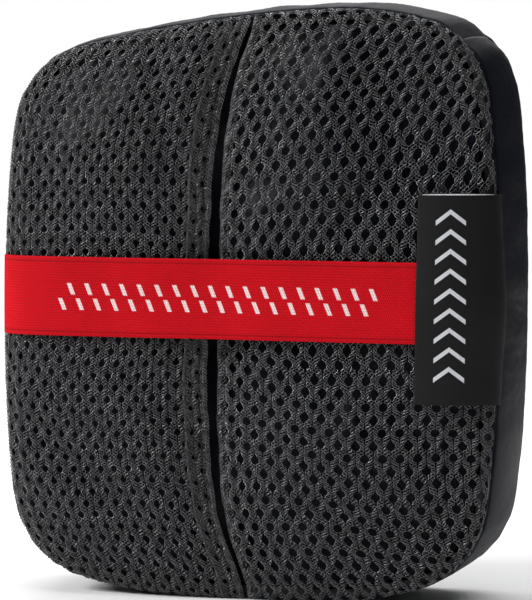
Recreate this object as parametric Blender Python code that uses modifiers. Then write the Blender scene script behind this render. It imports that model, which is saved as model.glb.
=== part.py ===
"""A rain cover folded into its own storage pouch.

The pouch is a soft box of thin nylon with a front of two mesh flaps that meet at an upright
slit. A wide elastic band holds the flaps shut, and a folded woven label is sewn into the
right seam over the band's end. The rain cover fills the pouch as a folded bundle.

Frame: +Z up, the front faces -Y, the origin is under the middle of the bounding box.
Run with: blender --background --python part.py
"""

import math

import bmesh
import bpy
import numpy as np

# ---------------------------------------------------------------- driving dimensions, metres
DEPTH = 0.054
GAP = 0.0003  # between neighbouring pieces

# The front seam runs round these discs: centre x, centre z, radius. It is then softened, so
# that its straight stretches bow out, and the foot is cut flat.
CORNER_DISCS = np.array([
    (-0.0260, 0.0300, 0.0300),  # left end of the foot
    (0.0290, 0.0300, 0.0300),   # right end of the foot
    (0.0482, 0.0340, 0.0300),   # bottom right
    (0.0518, 0.1570, 0.0265),   # top right
    (0.0330, 0.1560, 0.0300),   # highest stretch of the top
    (-0.0497, 0.1470, 0.0280),  # top left
    (-0.0484, 0.0340, 0.0305),  # bottom left
])
SOFTENING = math.radians(3.5)
SIDE_BULGE = 0.002     # how far the top and side gussets swell past the seams
CLOTH = 0.0008         # nylon of the gussets and the back panel
BACK_SWELL = 0.0025    # how far the back panel swells past the back seam
BACK_FLAT_SHARE = 0.5  # the middle of the back is flat out to this share of its reach

FRONT_RISE = 0.0085    # how far the mesh front rises over its seam
FRONT_ROLL = 0.027     # how far in from the seam the front is fully risen
ROLL_POWER = 2.2       # 2 is an elliptical roll, more is squarer
VALLEY_SHARE = 0.42    # share of the rise lost at the slit
VALLEY_WIDTH = 0.016
MESH = 0.0009          # thickness of the knitted mesh
PANEL_INSET = 0.0005   # the mesh keeps this far inside the seam line

SLIT_HALF = 0.002      # half the opening between the flaps
SLIT_FOOT_X = 0.003    # where the slit meets the bottom seam
SLIT_TOP_X = 0.0065    # where it meets the top seam
SLIT_BOW = 0.0145      # how far it bows to the left between them
LEFT_HEM_WIDTH = 0.0085
RIGHT_HEM_WIDTH = 0.003
HEM = 0.0015

BAND_HEIGHT = 0.025
BAND_MIDDLE_Z = 0.095
BAND = 0.0012
BAND_LEFT_X = -0.070   # the free stretch of the band runs between these
BAND_RIGHT_X = 0.056

LABEL_LEFT_X = 0.0575
LABEL_RIGHT_X = 0.0795
LABEL_HEIGHT = 0.067
LABEL_MIDDLE_Z = 0.0962
LABEL = 0.0008
STRIP_STEP = 0.003     # the band and the label bend over the front in steps of this

TAPE_WIDTH = 0.003
TAPE = 0.001
BUNDLE_CLEARANCE = 0.0022
BUNDLE_ROUND = 0.010    # how far the bundle's edges are rounded in
BUNDLE_STRAIGHT = 0.2   # share of its half depth with straight sides
BUNDLE_CUTS = 13
ELASTIC_RADIUS = 0.0013
ELASTIC_INSET = 0.030

# ---------------------------------------------------------------- sizes that follow from them
BAND_LIFT = GAP
LABEL_LIFT = BAND_LIFT + BAND + GAP
FRONT_SEAM_Y = -DEPTH / 2 + FRONT_RISE + LABEL_LIFT + LABEL
BACK_SEAM_Y = DEPTH / 2 - BACK_SWELL - CLOTH
FOOT_Z = 0.0

# The seam as a support function: how far it reaches in each outward direction.
ANGLE_STEP = math.radians(0.5)
ANGLES = np.arange(-math.pi, math.pi - ANGLE_STEP / 2, ANGLE_STEP)
NORMALS = np.stack([np.cos(ANGLES), np.sin(ANGLES)], axis=1)
TANGENTS = np.stack([-np.sin(ANGLES), np.cos(ANGLES)], axis=1)
ROUND_DISCS = (NORMALS @ CORNER_DISCS[:, :2].T + CORNER_DISCS[:, 2]).max(axis=1)
SHIFTS = np.arange(-30, 31)
WEIGHTS = np.exp(-((SHIFTS * ANGLE_STEP / SOFTENING) ** 2) / 2)
REACH = sum(w * np.roll(ROUND_DISCS, k) for w, k in zip(WEIGHTS / WEIGHTS.sum(), SHIFTS))
REACH_SLOPE = (np.roll(REACH, -1) - np.roll(REACH, 1)) / (2 * ANGLE_STEP)
TOP_Z = float(REACH[ANGLES.searchsorted(math.pi / 2 - ANGLE_STEP / 4)])


# ---------------------------------------------------------------- the seam's outline
def resampled(points, count):
    """Points spread evenly along a polyline."""
    points = np.asarray(points, dtype=float)
    steps = np.linalg.norm(np.diff(points, axis=0), axis=1)
    along = np.concatenate([[0.0], np.cumsum(steps)])
    wanted = np.linspace(0.0, along[-1], count)
    return np.stack([np.interp(wanted, along, column) for column in points.T], axis=1)


def outline(grow=0.0):
    """The seam line as x, z points, counter-clockwise from the left, moved out by grow."""
    line = (REACH + grow)[:, None] * NORMALS + REACH_SLOPE[:, None] * TANGENTS
    line[:, 1] = np.maximum(line[:, 1], FOOT_Z - grow)
    return line


def stretch(first_degrees, last_degrees, count, grow=0.0):
    """The part of the outline whose outward direction lies between two angles."""
    turned = np.roll(outline(grow), -np.searchsorted(ANGLES, math.radians(first_degrees)), axis=0)
    kept = int(round(math.radians(last_degrees - first_degrees) / ANGLE_STEP)) + 1
    return resampled(turned[:kept], count)


def closed_outline(grow, count):
    """The whole outline at evenly spread points, with the first one again at the end."""
    line = outline(grow)
    return resampled(np.vstack([line, line[:1]]), count + 1)


def inset_and_way_out(x, z):
    """How far a point lies inside the seam line, and the direction of the nearest seam."""
    room = REACH - NORMALS @ np.array([x, z])
    nearest = room.argmin()
    if z - FOOT_Z < room[nearest]:
        return max(z - FOOT_Z, 0.0), np.array([0.0, -1.0])
    return max(room[nearest], 0.0), NORMALS[nearest]


def slit_x(z):
    """The slit's middle line."""
    up = (z - FOOT_Z) / (TOP_Z - FOOT_Z)
    end_x = SLIT_FOOT_X + (SLIT_TOP_X - SLIT_FOOT_X) * up
    return end_x - SLIT_BOW * (1 - (2 * up - 1) ** 4)


# ---------------------------------------------------------------- the swollen front
def front_height(x, z, valley=VALLEY_SHARE):
    """Height of the front over its seam plane."""
    inset, _ = inset_and_way_out(x, z)
    short = 1 - min(inset / FRONT_ROLL, 1.0)
    rise = FRONT_RISE * (1 - short ** ROLL_POWER) ** (1 / ROLL_POWER)
    dip = valley * math.exp(-(((x - slit_x(z)) / VALLEY_WIDTH) ** 2))
    return rise * (1 - dip)


def front_point(x, z, lift=0.0, valley=VALLEY_SHARE):
    """A point on the front, moved out along its normal by lift."""
    small = 0.0002
    inset, way_out = inset_and_way_out(x, z)
    if inset < 2 * small:
        normal = np.array([way_out[0], 0.0, way_out[1]])
    else:
        slope_x = front_height(x + small, z, valley) - front_height(x - small, z, valley)
        slope_z = front_height(x, z + small, valley) - front_height(x, z - small, valley)
        normal = np.array([-slope_x, -2 * small, -slope_z])
        normal /= np.linalg.norm(normal)
    base = np.array([x, FRONT_SEAM_Y - front_height(x, z, valley), z])
    return base + lift * normal


# ---------------------------------------------------------------- scene, materials, helpers
def empty_scene():
    for obj in list(bpy.data.objects):
        bpy.data.objects.remove(obj, do_unlink=True)
    collection = bpy.data.collections.new("rain_cover_pouch")
    bpy.context.scene.collection.children.link(collection)
    return collection


def material(name, color, roughness):
    made = bpy.data.materials.new(name)
    made.use_nodes = True
    shader = made.node_tree.nodes["Principled BSDF"]
    shader.inputs["Base Color"].default_value = (*color, 1.0)
    shader.inputs["Roughness"].default_value = roughness
    shader.inputs["Metallic"].default_value = 0.0
    return made


def add(collection, name, mesh_or_curve, surface):
    obj = bpy.data.objects.new(name, mesh_or_curve)
    obj.data.materials.append(surface)
    collection.objects.link(obj)
    return obj


def grid_mesh(name, columns, rows, place, inside_out=False):
    """A grid whose points are put at place(across, up), each running from 0 to 1."""
    shape = bmesh.new()
    bmesh.ops.create_grid(shape, x_segments=columns, y_segments=rows, size=0.5)
    for vertex in shape.verts:
        vertex.co = place(vertex.co.x + 0.5, vertex.co.y + 0.5)
    bmesh.ops.remove_doubles(shape, verts=shape.verts, dist=0.00001)
    if inside_out:
        bmesh.ops.reverse_faces(shape, faces=shape.faces)
    mesh = bpy.data.meshes.new(name)
    shape.to_mesh(mesh)
    shape.free()
    return mesh


def thicken(obj, thickness, outward=False):
    """Give an open sheet its thickness, to the inside or to the outside."""
    solidify = obj.modifiers.new("thickness", "SOLIDIFY")
    solidify.thickness = thickness
    solidify.offset = 1.0 if outward else -1.0


def sheet_piece(collection, name, surface, thickness, mesh, outward=False):
    obj = add(collection, name, mesh, surface)
    thicken(obj, thickness, outward)
    obj.data.shade_smooth()
    obj.data.set_sharp_from_angle(angle=math.radians(40))


# ---------------------------------------------------------------- gussets and back panel
def bulge(x, z):
    """The gussets swell at the top and the sides, and stay flat under the foot."""
    _, way_out = inset_and_way_out(x, z)
    return SIDE_BULGE * (1 - max(0.0, -way_out[1]))


def gusset(collection, name, surface, first_degrees, last_degrees, columns):
    """One strip of the pouch's side wall, from the front seam to the back seam."""
    line = stretch(first_degrees, last_degrees, columns + 1)
    line_out = stretch(first_degrees, last_degrees, columns + 1, grow=0.001)
    front_y = FRONT_SEAM_Y + GAP
    depth = BACK_SEAM_Y - FRONT_SEAM_Y - 2 * GAP

    def place(across, back):
        place_on = int(round(across * columns))
        x, z = line[place_on]
        outward = (line_out[place_on] - line[place_on]) / 0.001
        swell = bulge(x, z) * math.sin(math.pi * back)
        return (x + outward[0] * swell, front_y + depth * back, z + outward[1] * swell)

    mesh = grid_mesh(name, columns, 6, place, inside_out=True)
    sheet_piece(collection, name, surface, CLOTH, mesh)


def back_panel(collection, surface):
    """The back is a shallow pillow, flat over its middle."""
    rings, around = 6, 72
    edge = closed_outline(-PANEL_INSET, around)
    centre = edge[:-1].mean(axis=0)

    def place(across, inward):
        x, z = centre + (edge[int(round(across * around))] - centre) * (1 - inward)
        past_flat = max(0.0, 1 - inward - BACK_FLAT_SHARE) / (1 - BACK_FLAT_SHARE)
        return (x, BACK_SEAM_Y + BACK_SWELL * math.sqrt(max(0.0, 1 - past_flat ** 2)), z)

    mesh = grid_mesh("back_panel", around, rings, place, inside_out=True)
    sheet_piece(collection, "back_panel", surface, CLOTH, mesh, outward=True)


def seam_tape(collection, name, surface, front_y):
    """A flat ring of tape that binds a seam on the inside."""
    around = 72
    outer = closed_outline(-CLOTH - GAP, around)
    inner = closed_outline(-CLOTH - GAP - TAPE_WIDTH, around)

    def place(across, inward):
        step = int(round(across * around))
        x, z = outer[step] + (inner[step] - outer[step]) * inward
        return (x, front_y, z)

    sheet_piece(collection, name, surface, TAPE, grid_mesh(name, around, 1, place))


# ---------------------------------------------------------------- the two flaps
def flap_edges(side, offset, count):
    """The seam line and the free edge of a flap, from foot to top, as x, z points.

    side is -1 for the left flap and 1 for the right one.
    """
    line = closed_outline(-PANEL_INSET, 1440)[:-1]
    free_x = np.array([slit_x(z) + side * offset for z in line[:, 1]])
    seam = line[(line[:, 0] - free_x) * side > 0]
    turn = np.arctan2(seam[:, 1] - TOP_Z / 2, seam[:, 0] * side)
    seam = seam[np.argsort(turn)]
    heights = np.linspace(seam[0, 1], seam[-1, 1], 400)
    free = [(slit_x(z) + side * offset, z) for z in heights]
    return resampled(seam, count + 1), resampled(free, count + 1)


def mesh_panel(collection, name, surface, side, hem_width):
    columns, rows = 12, 34
    seam, free = flap_edges(side, SLIT_HALF + hem_width + GAP, rows)

    def place(across, up):
        row = int(round(up * rows))
        share = math.sin(across * math.pi / 2)
        x, z = free[row] + (seam[row] - free[row]) * share
        return front_point(x, z)

    mesh = grid_mesh(name, columns, rows, place, inside_out=side < 0)
    sheet_piece(collection, name, surface, MESH, mesh)


def hem(collection, name, surface, side, width):
    """The doubled edge of a flap, along the slit from the bottom seam to the top seam."""
    rows = 34
    _, free = flap_edges(side, SLIT_HALF, rows)
    _, inner = flap_edges(side, SLIT_HALF + width, rows)

    def place(across, up):
        row = int(round(up * rows))
        x, z = free[row] + (inner[row] - free[row]) * across
        return front_point(x, z)

    mesh = grid_mesh(name, 3, rows, place, inside_out=side < 0)
    sheet_piece(collection, name, surface, HEM, mesh)


# ---------------------------------------------------------------- band and label
def front_strip(collection, name, surface, ends_x, middle_z, height, lift, thickness):
    """A strip that lies over the front between two x values, raised by lift."""
    taut = [front_point(x, middle_z, valley=0.0) for x in np.linspace(*ends_x, 400)]
    length = np.linalg.norm(np.diff(taut, axis=0), axis=1).sum()
    columns = max(8, int(length / STRIP_STEP))
    line_x = resampled(taut, columns + 1)[:, 0]

    def place(across, up):
        x = line_x[int(round(across * columns))]
        return front_point(x, middle_z + height * (up - 0.5), lift, valley=0.0)

    mesh = grid_mesh(name, columns, 4, place)
    sheet_piece(collection, name, surface, thickness, mesh, outward=True)


def band(collection, surface):
    seam_line = outline(-PANEL_INSET)
    stretches = (
        ("band_left_end", (seam_line[:, 0].min(), BAND_LEFT_X - GAP)),
        ("elastic_band", (BAND_LEFT_X, BAND_RIGHT_X)),
        ("band_right_end", (BAND_RIGHT_X + GAP, seam_line[:, 0].max())),
    )
    for name, ends_x in stretches:
        front_strip(collection, name, surface, ends_x, BAND_MIDDLE_Z, BAND_HEIGHT, BAND_LIFT, BAND)


def label(collection, surface):
    front_strip(
        collection, "woven_label", surface, (LABEL_LEFT_X, LABEL_RIGHT_X),
        LABEL_MIDDLE_Z, LABEL_HEIGHT, LABEL_LIFT, LABEL,
    )


# ---------------------------------------------------------------- the folded rain cover
def bundle(collection, surface):
    """The folded cover: a rounded block that stays clear of the pouch's walls."""
    inner = closed_outline(-CLOTH - BUNDLE_CLEARANCE, 360)[:-1]
    centre = np.array([0.0, TOP_Z / 2])
    arms = inner - centre
    turn = np.arctan2(arms[:, 1], arms[:, 0])
    reach = np.linalg.norm(arms, axis=1)
    middle_y = (FRONT_SEAM_Y + BACK_SEAM_Y) / 2
    front_reach = middle_y - FRONT_SEAM_Y + FRONT_RISE
    back_reach = BACK_SEAM_Y - middle_y - CLOTH - 2 * ELASTIC_RADIUS - 3 * GAP

    shape = bmesh.new()
    bmesh.ops.create_cube(shape, size=2.0)
    bmesh.ops.subdivide_edges(shape, edges=shape.edges, cuts=BUNDLE_CUTS, use_grid_fill=True)
    for vertex in shape.verts:
        across, deep, up = vertex.co
        around = math.atan2(up, across)
        rounding = max(0.0, abs(deep) - BUNDLE_STRAIGHT) / (1 - BUNDLE_STRAIGHT)
        arm = np.interp(around, turn, reach, period=2 * math.pi)
        arm -= BUNDLE_ROUND * (1 - math.sqrt(max(0.0, 1 - rounding ** 2)))
        arm *= max(abs(across), abs(up))
        x, z = centre + arm * np.array([math.cos(around), math.sin(around)])
        if deep > 0:
            y = middle_y + back_reach * deep
        else:
            front_limit = FRONT_SEAM_Y - front_height(x, z) + MESH + HEM
            y = max(middle_y + front_reach * deep, front_limit)
        vertex.co = (x, y, z)
    mesh = bpy.data.meshes.new("cover_bundle")
    shape.to_mesh(mesh)
    shape.free()
    mesh.shade_smooth()
    add(collection, "cover_bundle", mesh, surface)


def hem_elastic(collection, surface):
    """The elastic of the cover's hem, a loop behind the folded cover."""
    curve = bpy.data.curves.new("cover_hem_elastic", "CURVE")
    curve.dimensions = "3D"
    curve.bevel_depth = ELASTIC_RADIUS
    curve.bevel_resolution = 1
    line = closed_outline(-ELASTIC_INSET, 48)[:-1]
    spline = curve.splines.new("POLY")
    spline.points.add(len(line) - 1)
    spline.use_cyclic_u = True
    for point, (x, z) in zip(spline.points, line):
        point.co = (x, 0.0, z, 1.0)
    obj = add(collection, "cover_hem_elastic", curve, surface)
    obj.location.y = BACK_SEAM_Y - CLOTH - GAP - ELASTIC_RADIUS


# ---------------------------------------------------------------- joints
def hang_on_axis(collection, name, axis_point, pieces):
    """Parent moving pieces to an empty on their joint's axis, without moving them."""
    pivot = bpy.data.objects.new(name, None)
    pivot.location = axis_point
    collection.objects.link(pivot)
    for piece in pieces:
        obj = bpy.data.objects[piece]
        obj.parent = pivot
        obj.location = -pivot.location


def moving_groups(collection):
    """The flaps swing about the side seams, the label about its sewn edge; the band stretches."""
    seam_line = outline(-PANEL_INSET)
    left_x = float(seam_line[:, 0].min())
    right_x = float(seam_line[:, 0].max())
    label_y = front_point(LABEL_RIGHT_X, LABEL_MIDDLE_Z, LABEL_LIFT, valley=0.0)[1]
    groups = (
        ("band_stretch", (0.0, -DEPTH / 2, BAND_MIDDLE_Z), ["elastic_band"]),
        ("left_flap_swing", (left_x, FRONT_SEAM_Y, BAND_MIDDLE_Z),
         ["left_mesh_panel", "left_hem", "band_left_end"]),
        ("right_flap_swing", (right_x, FRONT_SEAM_Y, BAND_MIDDLE_Z),
         ["right_mesh_panel", "right_hem", "band_right_end"]),
        ("label_flip", (right_x, label_y, LABEL_MIDDLE_Z), ["woven_label"]),
    )
    for name, axis_point, pieces in groups:
        hang_on_axis(collection, name, axis_point, pieces)


# ---------------------------------------------------------------- the whole object
def main():
    collection = empty_scene()
    mesh_knit = material("mesh_knit", (0.020, 0.021, 0.026), 0.55)
    hem_knit = material("hem_knit", (0.030, 0.031, 0.036), 0.55)
    nylon = material("nylon", (0.020, 0.021, 0.030), 0.45)
    cover_nylon = material("cover_nylon", (0.055, 0.060, 0.080), 0.40)
    red_elastic = material("red_elastic", (0.680, 0.010, 0.020), 0.60)
    black_satin = material("black_satin", (0.012, 0.012, 0.012), 0.35)
    black_tape = material("black_tape", (0.015, 0.015, 0.017), 0.65)

    gusset(collection, "gusset_bottom", nylon, -134.5, -45.5, 30)
    gusset(collection, "gusset_right", nylon, -44.5, 44.5, 26)
    gusset(collection, "gusset_top", nylon, 45.5, 134.5, 28)
    gusset(collection, "gusset_left", nylon, 135.5, 224.5, 26)
    back_panel(collection, nylon)
    seam_tape(collection, "front_seam_tape", black_tape, FRONT_SEAM_Y + 2 * GAP)
    seam_tape(collection, "back_seam_tape", black_tape, BACK_SEAM_Y - 2 * GAP - TAPE)

    mesh_panel(collection, "left_mesh_panel", mesh_knit, -1, LEFT_HEM_WIDTH)
    mesh_panel(collection, "right_mesh_panel", mesh_knit, 1, RIGHT_HEM_WIDTH)
    hem(collection, "left_hem", hem_knit, -1, LEFT_HEM_WIDTH)
    hem(collection, "right_hem", hem_knit, 1, RIGHT_HEM_WIDTH)

    band(collection, red_elastic)
    label(collection, black_satin)
    bundle(collection, cover_nylon)
    hem_elastic(collection, black_tape)
    moving_groups(collection)


main()
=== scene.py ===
"""Looks of a rain cover packed in its mesh-fronted pouch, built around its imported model."""

import math

import bmesh
import bpy
import numpy as np
from bpy.props import FloatProperty, FloatVectorProperty, IntProperty, PointerProperty
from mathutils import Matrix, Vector, noise


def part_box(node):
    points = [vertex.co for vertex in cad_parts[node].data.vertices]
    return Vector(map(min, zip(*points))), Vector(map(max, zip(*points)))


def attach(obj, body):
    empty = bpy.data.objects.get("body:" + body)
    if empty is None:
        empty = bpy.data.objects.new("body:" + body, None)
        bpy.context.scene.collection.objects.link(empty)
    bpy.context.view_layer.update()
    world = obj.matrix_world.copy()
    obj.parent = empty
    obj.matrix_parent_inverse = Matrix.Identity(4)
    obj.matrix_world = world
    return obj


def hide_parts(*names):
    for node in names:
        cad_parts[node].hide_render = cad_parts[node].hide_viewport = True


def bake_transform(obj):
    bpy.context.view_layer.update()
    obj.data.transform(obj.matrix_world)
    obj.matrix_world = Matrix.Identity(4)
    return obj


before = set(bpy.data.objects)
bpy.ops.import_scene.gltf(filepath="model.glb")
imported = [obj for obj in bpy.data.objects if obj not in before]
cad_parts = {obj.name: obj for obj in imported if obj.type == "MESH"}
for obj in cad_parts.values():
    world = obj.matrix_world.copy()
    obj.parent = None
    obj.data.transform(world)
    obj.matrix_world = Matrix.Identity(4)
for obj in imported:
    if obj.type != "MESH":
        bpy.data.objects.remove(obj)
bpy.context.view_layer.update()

bl_info = {
    "name": "Rain Cover Pouch",
    "version": (1, 0, 0),
    "blender": (4, 5, 0),
    "location": "3D View > Sidebar > Rain Cover",
    "description": "Knitted front, elastic band, label, nylon walls and folded cover of a pouch",
    "category": "Object",
}

# ---- places read from the frame
SEAM_GAP = 0.0003       # between a wall and the seam beside it
FRONT_SEAM_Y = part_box("gusset_right")[0].y - SEAM_GAP
BACK_SEAM_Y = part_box("gusset_right")[1].y + SEAM_GAP
FRONT_RISE = FRONT_SEAM_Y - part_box("right_mesh_panel")[0].y
BAND_FOOT, BAND_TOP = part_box("elastic_band")[0].z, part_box("elastic_band")[1].z
BAND_MIDDLE = (BAND_FOOT + BAND_TOP) / 2
LABEL_LOW, LABEL_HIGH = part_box("woven_label")
TOP_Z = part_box("right_mesh_panel")[1].z
POUCH_MIDDLE = Vector((0.0, 0.0, 0.093))

# ---- the front's form
FRONT_ROLL = 0.027      # how far in from the seam the front is fully risen
ROLL_POWER = 2.2        # 2 is a round edge, and more is a fuller one
VALLEY_WIDTH = 0.011    # half the width of the hollow along the slit
VALLEY_SHARE = 0.56     # the part of the front's rise that the hollow takes away
DIRECTION_COUNT = 360
TURNS = np.linspace(-math.pi, math.pi, DIRECTION_COUNT, endpoint=False)
DIRECTIONS = np.stack([np.cos(TURNS), np.sin(TURNS)], axis=1)


def node_points(*names):
    """The corner points of some CAD nodes, as rows of x, y, z."""
    return np.array([tuple(v.co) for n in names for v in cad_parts[n].data.vertices])


def smoothed_ring(values, width):
    """A closed row of numbers, softened over a few neighbours."""
    shifts = np.arange(-3 * width, 3 * width + 1)
    weights = np.exp(-((shifts / width) ** 2) / 2)
    return sum(w * np.roll(values, k) for w, k in zip(weights / weights.sum(), shifts))


PANEL_POINTS = node_points("left_mesh_panel", "right_mesh_panel")[:, [0, 2]]
REACH = smoothed_ring((PANEL_POINTS @ DIRECTIONS.T).max(axis=0), 2)
REACH_SLOPE = (np.roll(REACH, -1) - np.roll(REACH, 1)) / (2 * math.tau / DIRECTION_COUNT)


def slit_line():
    """Heights and x values of the slit's middle, from the two hems' facing edges."""
    left, right = node_points("left_hem"), node_points("right_hem")
    end_room, reach = 0.004, 0.005
    heights = np.linspace(end_room, TOP_Z - end_room, 40)
    middle = []
    for z in heights:
        left_edge = left[np.abs(left[:, 2] - z) < reach][:, 0].max()
        right_edge = right[np.abs(right[:, 2] - z) < reach][:, 0].min()
        middle.append((left_edge + right_edge) / 2)
    return heights, np.convolve(np.pad(middle, 2, mode="edge"), np.ones(5) / 5, mode="valid")


SLIT_HEIGHTS, SLIT_MIDDLE = slit_line()


def slit_x(z):
    return np.interp(z, SLIT_HEIGHTS, SLIT_MIDDLE)


def slit_half(z):
    """Half the slit's width: it closes towards the top and the foot, and wavers a little."""
    up = np.clip(z / TOP_Z, 0.0, 1.0)
    return 0.0003 + 0.0013 * np.sin(up * math.pi) ** 0.7 + 0.00022 * np.sin(z * 420) * np.sin(z * 130 + 1.0)


def outline(grow=0.0):
    """The front seam line as x, z points, counter-clockwise from the left."""
    tangents = np.stack([-DIRECTIONS[:, 1], DIRECTIONS[:, 0]], axis=1)
    return (REACH + grow)[:, None] * DIRECTIONS + REACH_SLOPE[:, None] * tangents


def closed_outline(grow=0.0):
    """The seam line with its first point again at the end."""
    line = outline(grow)
    return np.vstack([line, line[:1]])


def resampled(points, count):
    """Points spread evenly along a polyline."""
    points = np.asarray(points, dtype=float)
    steps = np.linalg.norm(np.diff(points, axis=0), axis=1)
    along = np.concatenate([[0.0], np.cumsum(steps)])
    wanted = np.linspace(0.0, along[-1], count)
    return np.stack([np.interp(wanted, along, column) for column in points.T], axis=1)


def inset_of(x, z):
    """How far points lie inside the seam line."""
    flat = np.stack([np.ravel(x), np.ravel(z)], axis=1)
    rooms = [(REACH - part @ DIRECTIONS.T).min(axis=1) for part in np.array_split(flat, 40)]
    return np.clip(np.concatenate(rooms), 0.0, None).reshape(np.shape(x))


def mound(x, z, middle_x, middle_z, reach_x, reach_z, turn_degrees=0.0):
    """A soft round rise of height 1, as wide as reach_x and reach_z, turned about its middle."""
    turn = math.radians(turn_degrees)
    across = (x - middle_x) * math.cos(turn) + (z - middle_z) * math.sin(turn)
    along = (z - middle_z) * math.cos(turn) - (x - middle_x) * math.sin(turn)
    return np.exp(-((across / reach_x) ** 2) - (along / reach_z) ** 2)


def side_dent(depth, across, edge, width, z, middle_z):
    """A dent that deepens in a soft step past an edge, around one height."""
    return depth * (1 / (1 + np.exp(-(across - edge) / width))) * np.exp(-(((z - middle_z) / 0.034) ** 4))


# Swells and dents: height, middle x and z, reach across and along, turn in degrees.
SWELLS = (
    (0.0012, 0.064, 0.118, 0.007, 0.014, 10), (-0.0024, 0.038, 0.122, 0.006, 0.016, -35),
    (0.0020, 0.022, 0.050, 0.020, 0.018, 30), (-0.0016, 0.034, 0.024, 0.007, 0.020, 60),
    (0.0014, -0.044, 0.142, 0.018, 0.018, 0), (-0.0018, -0.062, 0.120, 0.008, 0.026, 15),
    (0.0014, -0.040, 0.062, 0.020, 0.012, -35), (-0.0022, -0.048, 0.034, 0.034, 0.006, -38),
    (-0.0020, -0.030, 0.066, 0.030, 0.005, -42), (-0.0014, -0.026, 0.152, 0.005, 0.026, 8),
)


def slack(x, z):
    """Dents and swells of the mesh front where the folded cover presses or leaves it free."""
    rise = 0.0022 * mound(x, z, 0.022, 0.146, 0.013, 0.034)
    rise -= side_dent(0.0042, x + 0.35 * (z - 0.145), 0.044, 0.005, z, 0.150)
    rise -= side_dent(0.0030, x - 0.25 * (z - 0.040), 0.052, 0.006, z, 0.040)
    for height, *place in SWELLS:
        rise += height * mound(x, z, *place)
    return rise


def front_height(x, z, valley=True):
    """Height of the front over its seam plane."""
    inset = inset_of(x, z)
    short = 1 - np.clip(inset / FRONT_ROLL, 0.0, 1.0)
    rise = FRONT_RISE * (1 - short ** ROLL_POWER) ** (1 / ROLL_POWER)
    if not valley:
        return rise
    dip = VALLEY_SHARE * np.exp(-np.abs((x - slit_x(z)) / VALLEY_WIDTH) ** 1.6)
    settle = np.clip(inset / 0.012, 0.0, 1.0) * np.clip(np.abs(z - BAND_MIDDLE) / 0.03 - 0.2, 0.25, 1.0)
    return rise * (1 - dip) + slack(x, z) * settle


def front_slopes(x, z, step, valley=True):
    """How steeply the front rises along x and along z."""
    slope_x = (front_height(x + step, z, valley) - front_height(x - step, z, valley)) / (2 * step)
    slope_z = (front_height(x, z + step, valley) - front_height(x, z - step, valley)) / (2 * step)
    return slope_x, slope_z


def front_points(x, z, lift=0.0, valley=True):
    """Points on the front, moved out along its normal by lift, as rows of x, y, z."""
    x, z = np.asarray(x, dtype=float), np.asarray(z, dtype=float)
    height = front_height(x, z, valley)
    slope_x, slope_z = front_slopes(x, z, 0.00015, valley)
    normal = np.stack([-slope_x, -np.ones_like(x), -slope_z], axis=-1)
    normal /= np.linalg.norm(normal, axis=-1, keepdims=True)
    base = np.stack([x, FRONT_SEAM_Y - height, z], axis=-1)
    return base + np.asarray(lift)[..., None] * normal


def flap_edges(side, count):
    """The seam line and the free edge of a flap, from foot to top. side is -1 or 1."""
    line = resampled(closed_outline(), 1441)[:-1]
    seam = line[(line[:, 0] - slit_x(line[:, 1]) - side * slit_half(line[:, 1])) * side > 0]
    turn = np.arctan2(seam[:, 1] - TOP_Z / 2, seam[:, 0] * side)
    seam = seam[np.argsort(turn)]
    heights = np.linspace(seam[0, 1], seam[-1, 1], 400)
    free = np.stack([slit_x(heights) + side * slit_half(heights), heights], axis=1)
    return resampled(seam, count), resampled(free, count)


# ---- settings a user would change
class PouchSettings(bpy.types.PropertyGroup):
    """Sizes and colours of the pouch's visible pieces."""

    right_pitch: FloatProperty(
        name="Right Hole Pitch", description="Width of one mesh cell on the right flap",
        default=0.0055, unit="LENGTH")
    left_pitch: FloatProperty(
        name="Left Hole Pitch", description="Width of one mesh cell on the left flap",
        default=0.0048, unit="LENGTH")
    right_row: FloatProperty(
        name="Right Row Height", description="Height from one row of holes to the next",
        default=0.0041, unit="LENGTH")
    left_row: FloatProperty(
        name="Left Row Height", description="Height from one row of holes to the next",
        default=0.0038, unit="LENGTH")
    yarn_radius: FloatProperty(
        name="Yarn Radius", description="Radius of each knitted yarn", default=0.00017, unit="LENGTH")
    stitch_seed: IntProperty(name="Seed", description="Seed of the small irregularities", default=7)
    band_thickness: FloatProperty(
        name="Band Thickness", description="Thickness of the elastic", default=0.0012, unit="LENGTH")
    yarn_color: FloatVectorProperty(
        name="Yarn", description="Colour of the knitted yarn", subtype="COLOR",
        default=(0.070, 0.070, 0.074))
    nylon_color: FloatVectorProperty(
        name="Nylon", description="Colour of the walls' nylon", subtype="COLOR",
        default=(0.0058, 0.0064, 0.0105))
    cover_color: FloatVectorProperty(
        name="Cover", description="Colour of the folded rain cover", subtype="COLOR",
        default=(0.0042, 0.0048, 0.0074))
    band_color: FloatVectorProperty(
        name="Elastic", description="Colour of the elastic band", subtype="COLOR",
        default=(0.52, 0.0022, 0.0085))
    label_color: FloatVectorProperty(
        name="Label", description="Colour of the woven label", subtype="COLOR",
        default=(0.0042, 0.0042, 0.0045))


def settings():
    return bpy.context.scene.rain_cover_pouch


# ---- mesh helpers
def made_mesh(name, shape):
    """The mesh of a finished bmesh."""
    mesh = bpy.data.meshes.new(name)
    shape.to_mesh(mesh)
    shape.free()
    return mesh


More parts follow.
